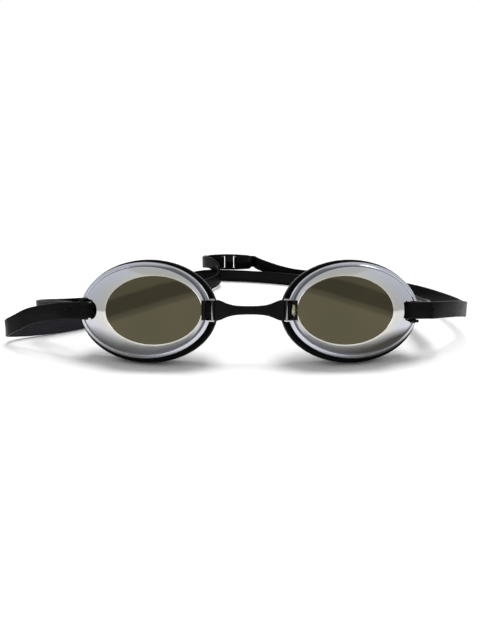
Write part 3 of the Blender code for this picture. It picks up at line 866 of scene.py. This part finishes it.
def strand_path(fold, end, listed, lean, tail=()):
    """From just clear of the fold, along the listed points, to the tail."""
    last, inner = fold.points[:2] if end == "outer" else fold.points[:-3:-1]
    away = (last - inner).normalized()
    items = []
    for distance in (GAP, 3.0 * MM):
        items.append(Vector((*(last + away * distance), math.radians(lean))))
    for x, y, z, tilt in listed:
        items.append(Vector((*(DESIGN @ Vector((x * MM, y * MM, z * MM))), math.radians(tilt))))
    if tail:
        items.append(Vector((*tail[0], 0.0)))
    run = smooth_path(items, STRAP_STEPS)
    run += [Vector((*point, 0.0)) for point in tail[1:]]
    points = [Vector(item[:3]) for item in run]
    return Path(points, z_up(points, [item[3] for item in run]))


def slider_tail(side):
    """In behind the slider's outer bar, forward through the slot and back over the bar."""
    radius = SLIDER_THICK / 2 + GAP + STRAP_THICK / 2
    turn = SLOT_SPAN[0] + SLOT_CLEARANCE + STRAP_THICK / 2 + radius * HAIRPIN_SQUEEZE
    local = [(SLIDER_LENGTH / 2 + 1.4 * MM, radius), (SLIDER_LENGTH / 4 + 2 * MM, radius)]
    arc_steps = 6
    for step in range(arc_steps + 1):
        angle = math.pi * step / arc_steps
        local.append((turn - radius * math.sin(angle) * HAIRPIN_SQUEEZE, radius * math.cos(angle)))
    local.append((SLIDER_LENGTH / 2 - 3 * MM, -radius))
    return [SLIDER @ Vector((side * along, out, 0.0)) for along, out in local]


def fold_heights(local, before, after, rounded):
    """How much of the strap's full height stands at each point round the temple bar: a
    round-cornered end, or a square end with a narrow tab."""
    tip = FOLD_CENTRE - FOLD_RADIUS
    shares = []
    for along, out in local:
        reach = along - tip
        if rounded:
            share = min(1.0, reach / FOLD_ROUNDING)
            shares.append(max(0.3, math.sqrt(1 - (1 - share) ** 2)))
        else:
            shares.append(0.64 if reach < 0.9 * MM else 1.0)
    return [1.0] * before + shares + [1.0] * after


def make_strap(material):
    """One strap, cut where the cups', the bridge's and the rear's shares of its motion meet."""
    paths = {}
    for label, side in (("left", 1), ("right", -1)):
        lean = -18 * side
        fold, local = fold_path(side)
        if side > 0:
            outer = strand_path(fold, "outer", LEFT_OUTER, lean, slider_tail(1))
            inner = strand_path(fold, "inner", LEFT_INNER, lean)
        else:
            outer = strand_path(fold, "outer", RIGHT_OUTER, lean)
            inner = strand_path(fold, "inner", RIGHT_INNER, lean, slider_tail(-1))
        outer_cut = CUTS[label]["outer"] * STRAP_STEPS
        inner_cut = CUTS[label]["inner"] * STRAP_STEPS
        front = outer.part(0, outer_cut + 1).turned() + fold + inner.part(0, inner_cut + 1)
        heights = fold_heights(local, outer_cut + 1, inner_cut + 1, rounded=side < 0)
        fold_start = outer_cut + 1
        pips = [fold_start - 4] if side > 0 else [fold_start, fold_start - 3]
        band = sweep(f"{label}_front_strap", front, material, heights, pips, face=-side)
        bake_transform(band)
        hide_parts(f"{label}_temple_fold", f"{label}_outer_strand", f"{label}_inner_strand")
        paths[label] = (outer.part(outer_cut), inner.part(inner_cut))
    rear = {
        "rear_upper_strap": (paths["left"][0], "rear_upper_strand", 1),
        "rear_lower_strap": (paths["left"][1] + paths["right"][0].turned(), "rear_lower_strand", 1),
        "rear_crossing_strap": (paths["right"][1], "rear_crossing_strand", 1),
    }
    for name, (path, node, face) in rear.items():
        band = sweep(name, path, material, face=face)
        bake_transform(band)
        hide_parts(node)


# ---- Slider and temple clips -------------------------------------------------------------

def make_slider(material):
    """A barrel-sided plate with two slots and soft edges."""
    half_length = SLIDER_LENGTH / 2
    rings = []
    steps = 28
    for step in range(steps + 1):
        along = -half_length + SLIDER_LENGTH * step / steps
        share = abs(along) / half_length
        bulge = (SLIDER_HEIGHT[1] - SLIDER_HEIGHT[0]) * (1 - share ** 2)
        end_share = max(0.0, share - 0.9) / 0.1
        half_height = (SLIDER_HEIGHT[0] + bulge) / 2 - 1.4 * MM * end_share ** 2
        rings.append(rounded_section(along, half_height, -SLIDER_THICK / 2, SLIDER_THICK / 2,
                                     corner=0.55 * MM))
    bm = bmesh.new()
    closed_loft(bm, rings)
    slider = finish_mesh("strap_slider", bm, [material], SLIDER)
    for side in (-1, 1):
        low, high = sorted((side * SLOT_SPAN[0], side * SLOT_SPAN[1]))
        slot = block((low, -5 * MM, -SLOT_HALF_HEIGHT), (high, 5 * MM, SLOT_HALF_HEIGHT))
        carve(slider, slot, SLIDER)
    soften(slider, 0.2 * MM)
    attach(slider, "rear_strap")
    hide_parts("rear_slider")


def make_clip(label, side, rail_side, material):
    """The moulded rail on one edge of the strap, with its two round studs."""
    temple = temple_frame()
    inner = SLOT_HALF_HEIGHT - 0.05 * MM
    edges = sorted((rail_side * inner, rail_side * (inner + RAIL_HEIGHT)))
    front = -2.1 * MM
    bm = block((1.65 * MM, front, edges[0]), (4.2 * MM, 2.2 * MM, edges[1]), temple)
    bmesh.ops.bevel(bm, geom=bm.edges[:], offset=0.3 * MM, segments=3, affect="EDGES", profile=0.5)
    for along in (2.2 * MM, 3.5 * MM):
        centre = temple @ Vector((along, front, sum(edges) / 2))
        turned = Matrix.Translation(centre) @ temple.to_3x3().to_4x4()
        flattened = turned @ Matrix.Diagonal((1, 0.7, 1, 1))
        bmesh.ops.create_uvsphere(bm, u_segments=20, v_segments=12, radius=0.5 * MM,
                                  matrix=flattened)
    clip = finish_mesh(f"{label}_strap_clip", bm, [material], cup_place(side))
    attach(clip, f"{label}_cup")
    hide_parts(f"{label}_temple_clip")


# ---- Studio ------------------------------------------------------------------------------

def make_world():
    """White for the camera and for soft light; shaped grey tones for reflections."""
    world = bpy.data.worlds.new("studio")
    bpy.context.scene.world = world
    world.use_nodes = True
    nodes = world.node_tree.nodes
    links = world.node_tree.links
    background = nodes["Background"]
    background.inputs["Color"].default_value = (1, 1, 1, 1)
    background.inputs["Strength"].default_value = 0.5
    mirror = nodes.new("ShaderNodeBackground")
    geometry = nodes.new("ShaderNodeTexCoord")
    split = nodes.new("ShaderNodeSeparateXYZ")
    links.new(geometry.outputs["Generated"], split.inputs[0])
    width = nodes.new("ShaderNodeMath")
    width.operation = "ABSOLUTE"
    links.new(split.outputs["X"], width.inputs[0])
    bearing = nodes.new("ShaderNodeMath")
    bearing.operation = "ARCTAN2"
    links.new(width.outputs[0], bearing.inputs[0])
    links.new(split.outputs["Y"], bearing.inputs[1])
    share = nodes.new("ShaderNodeMath")
    share.operation = "DIVIDE"
    share.inputs[1].default_value = math.pi
    links.new(bearing.outputs[0], share.inputs[0])
    ramp = nodes.new("ShaderNodeValToRGB")
    set_stops(ramp, [
        (0.0, (0.68, 0.68, 0.64)), (0.17, (0.7, 0.7, 0.66)), (0.2, (0.84, 0.85, 0.87)),
        (0.33, (0.78, 0.8, 0.83)), (0.5, (0.68, 0.68, 0.7)), (0.62, (0.5, 0.5, 0.51)),
        (0.8, (0.22, 0.22, 0.22)),
    ])
    links.new(share.outputs[0], ramp.inputs["Fac"])
    links.new(ramp.outputs["Color"], mirror.inputs["Color"])
    path = nodes.new("ShaderNodeLightPath")
    mix = nodes.new("ShaderNodeMixShader")
    links.new(path.outputs["Is Glossy Ray"], mix.inputs["Fac"])
    links.new(background.outputs[0], mix.inputs[1])
    links.new(mirror.outputs[0], mix.inputs[2])
    backdrop = nodes.new("ShaderNodeBackground")
    seen = nodes.new("ShaderNodeMixShader")
    links.new(path.outputs["Is Camera Ray"], seen.inputs["Fac"])
    links.new(mix.outputs[0], seen.inputs[1])
    links.new(backdrop.outputs[0], seen.inputs[2])
    backdrop.inputs["Color"].default_value = (1, 1, 1, 1)
    links.new(seen.outputs[0], nodes["World Output"].inputs["Surface"])


def make_floor():
    bm = bmesh.new()
    bmesh.ops.create_grid(bm, x_segments=1, y_segments=1, size=3.0)
    finish = Finish("white_sweep", (0.93, 0.93, 0.935), 0.9, specular=0.1)
    finish.colour(finish.ramp(finish.noise(3, 2), [
        (0.3, (0.925, 0.925, 0.93)), (0.7, (0.935, 0.935, 0.94)),
    ]))
    floor = finish_mesh("floor", bm, [finish.material], Matrix.Identity(4))


def only_in_reflections(obj):
    for kind in ("camera", "diffuse", "shadow", "transmission", "volume_scatter"):
        setattr(obj, f"visible_{kind}", False)


def make_front_card():
    """A big dim card behind the camera, seen only in reflections: the flat windows mirror it,
    with the slanting beams of a ceiling across it."""
    material = bpy.data.materials.new("dim_card")
    material.use_nodes = True
    nodes = material.node_tree.nodes
    links = material.node_tree.links
    nodes.clear()
    output = nodes.new("ShaderNodeOutputMaterial")
    emission = nodes.new("ShaderNodeEmission")
    coordinates = nodes.new("ShaderNodeTexCoord")
    split = nodes.new("ShaderNodeSeparateXYZ")
    links.new(coordinates.outputs["Object"], split.inputs[0])
    shifted = nodes.new("ShaderNodeMath")
    shifted.operation = "SUBTRACT"
    shifted.inputs[1].default_value = 0.02  # where across the card its beams meet, in metres
    links.new(split.outputs["X"], shifted.inputs[0])
    spread = nodes.new("ShaderNodeMath")
    spread.operation = "ABSOLUTE"
    links.new(shifted.outputs[0], spread.inputs[0])
    slant = nodes.new("ShaderNodeMath")
    slant.operation = "MULTIPLY_ADD"
    slant.inputs[1].default_value = 0.333  # how steeply they slant
    links.new(spread.outputs[0], slant.inputs[0])
    links.new(split.outputs["Y"], slant.inputs[2])
    scale = nodes.new("ShaderNodeMapRange")
    scale.inputs["From Min"].default_value = -0.05
    scale.inputs["From Max"].default_value = 0.11
    links.new(slant.outputs[0], scale.inputs["Value"])
    ramp = nodes.new("ShaderNodeValToRGB")
    tones = [
        (0.0, 0.42), (0.60, 0.44), (0.622, 0.31), (0.645, 0.29), (0.665, 0.175), (0.78, 0.175),
        (0.80, 0.3), (1.0, 0.33),
    ]
    set_stops(ramp, [(place, (tone, tone * 0.98, tone * 0.94)) for place, tone in tones])
    links.new(scale.outputs["Result"], ramp.inputs["Fac"])
    links.new(ramp.outputs["Color"], emission.inputs["Color"])
    links.new(emission.outputs[0], output.inputs["Surface"])
    bm = bmesh.new()
    bmesh.ops.create_grid(bm, x_segments=1, y_segments=1, size=0.5)
    for vert in bm.verts:
        vert.co.y *= 0.6
    card = finish_mesh("front_card", bm, [material], Matrix.Identity(4))
    card.location = CAMERA_PLACE + Vector((0, -0.06, 0.02))
    card.rotation_euler = CAMERA_TURN
    only_in_reflections(card)


def make_under_shade(number, middle, half, core):
    """A soft dark oval under one cup, seen only in reflections: the deep contact shade that
    the lower bevels mirror. It is darkest out to core, a share of its half size."""
    material = bpy.data.materials.new(f"under_shade_{number}")
    material.use_nodes = True
    nodes = material.node_tree.nodes
    links = material.node_tree.links
    nodes.clear()
    output = nodes.new("ShaderNodeOutputMaterial")
    emission = nodes.new("ShaderNodeEmission")
    emission.inputs["Color"].default_value = (0.11, 0.1, 0.08, 1)
    clear = nodes.new("ShaderNodeBsdfTransparent")
    coordinates = nodes.new("ShaderNodeTexCoord")
    radius = nodes.new("ShaderNodeVectorMath")
    radius.operation = "LENGTH"
    links.new(coordinates.outputs["Object"], radius.inputs[0])
    edge = nodes.new("ShaderNodeMapRange")
    edge.inputs["From Min"].default_value = core
    edge.inputs["From Max"].default_value = 1.0
    links.new(radius.outputs["Value"], edge.inputs["Value"])
    mix = nodes.new("ShaderNodeMixShader")
    links.new(edge.outputs["Result"], mix.inputs["Fac"])
    links.new(emission.outputs[0], mix.inputs[1])
    links.new(clear.outputs[0], mix.inputs[2])
    links.new(mix.outputs[0], output.inputs["Surface"])
    bm = bmesh.new()
    bmesh.ops.create_circle(bm, cap_ends=True, segments=64, radius=1.0)
    shade = finish_mesh(f"under_shade_{number}", bm, [material], Matrix.Identity(4))
    shade.location = middle
    shade.scale = (*half, 1.0)
    only_in_reflections(shade)


def add_softbox(name, place, target, size, power):
    light = bpy.data.lights.new(name, "AREA")
    light.shape = "RECTANGLE"
    light.size, light.size_y = size
    light.energy = power
    lamp = bpy.data.objects.new(name, light)
    lamp.location = place
    direction = Vector(target) - Vector(place)
    lamp.rotation_euler = direction.to_track_quat("-Z", "Y").to_euler()
    bpy.context.scene.collection.objects.link(lamp)


def add_sun(strength, spread, turn):
    """The soft key light from above. It isn't mirrored, so that it leaves no round glare."""
    light = bpy.data.lights.new("key", "SUN")
    light.energy = strength
    light.angle = spread
    lamp = bpy.data.objects.new("key", light)
    lamp.rotation_euler = turn
    lamp.visible_glossy = False
    bpy.context.scene.collection.objects.link(lamp)


def make_camera():
    data = bpy.data.cameras.new("camera")
    data.lens = FOCAL_LENGTH
    data.sensor_width = 36.0
    data.clip_start = 0.01
    camera = bpy.data.objects.new("camera", data)
    camera.location = CAMERA_PLACE
    camera.rotation_euler = CAMERA_TURN
    bpy.context.scene.collection.objects.link(camera)
    bpy.context.scene.camera = camera


make_camera()
make_world()
make_floor()
make_front_card()
make_under_shade(1, (-0.055, -0.049, 0.0002), (0.060, 0.033), 0.55)
make_under_shade(2, (0.064, -0.049, 0.0002), (0.052, 0.033), 0.72)
add_sun(2.3, math.radians(30), (math.radians(-10), math.radians(4), 0))
add_softbox("left_strip", (-0.45, -0.15, 0.35), (0, 0, 0.02), (0.06, 0.4), 0.25)
add_softbox("right_strip", (0.45, -0.1, 0.4), (0, 0, 0.02), (0.06, 0.4), 0.25)
bpy.context.scene.view_settings.view_transform = "Standard"

lens_materials = [
    make_window_tint_and_reflection(), make_bevel_coat(), make_edge_coat(), make_smoke_plastic(), make_painted_glint_finish(),
]
gasket_material = make_gasket_silicone()
strap_material = make_strap_silicone()
plastic_material = make_black_plastic()
make_bridge(make_bridge_rubber())
for cup_label, cup_side, cup_rail in (("left", 1, -1), ("right", -1, 1)):
    make_lens(cup_label, cup_side, cup_rail, lens_materials)
    make_gasket(cup_label, cup_side, gasket_material)
    make_clip(cup_label, cup_side, cup_rail, plastic_material)
# The painted glint in the left cup's nasal pocket.
make_glint_lump("left", 1, lens_materials[GLINT])
make_strap(strap_material)
make_slider(plastic_material)
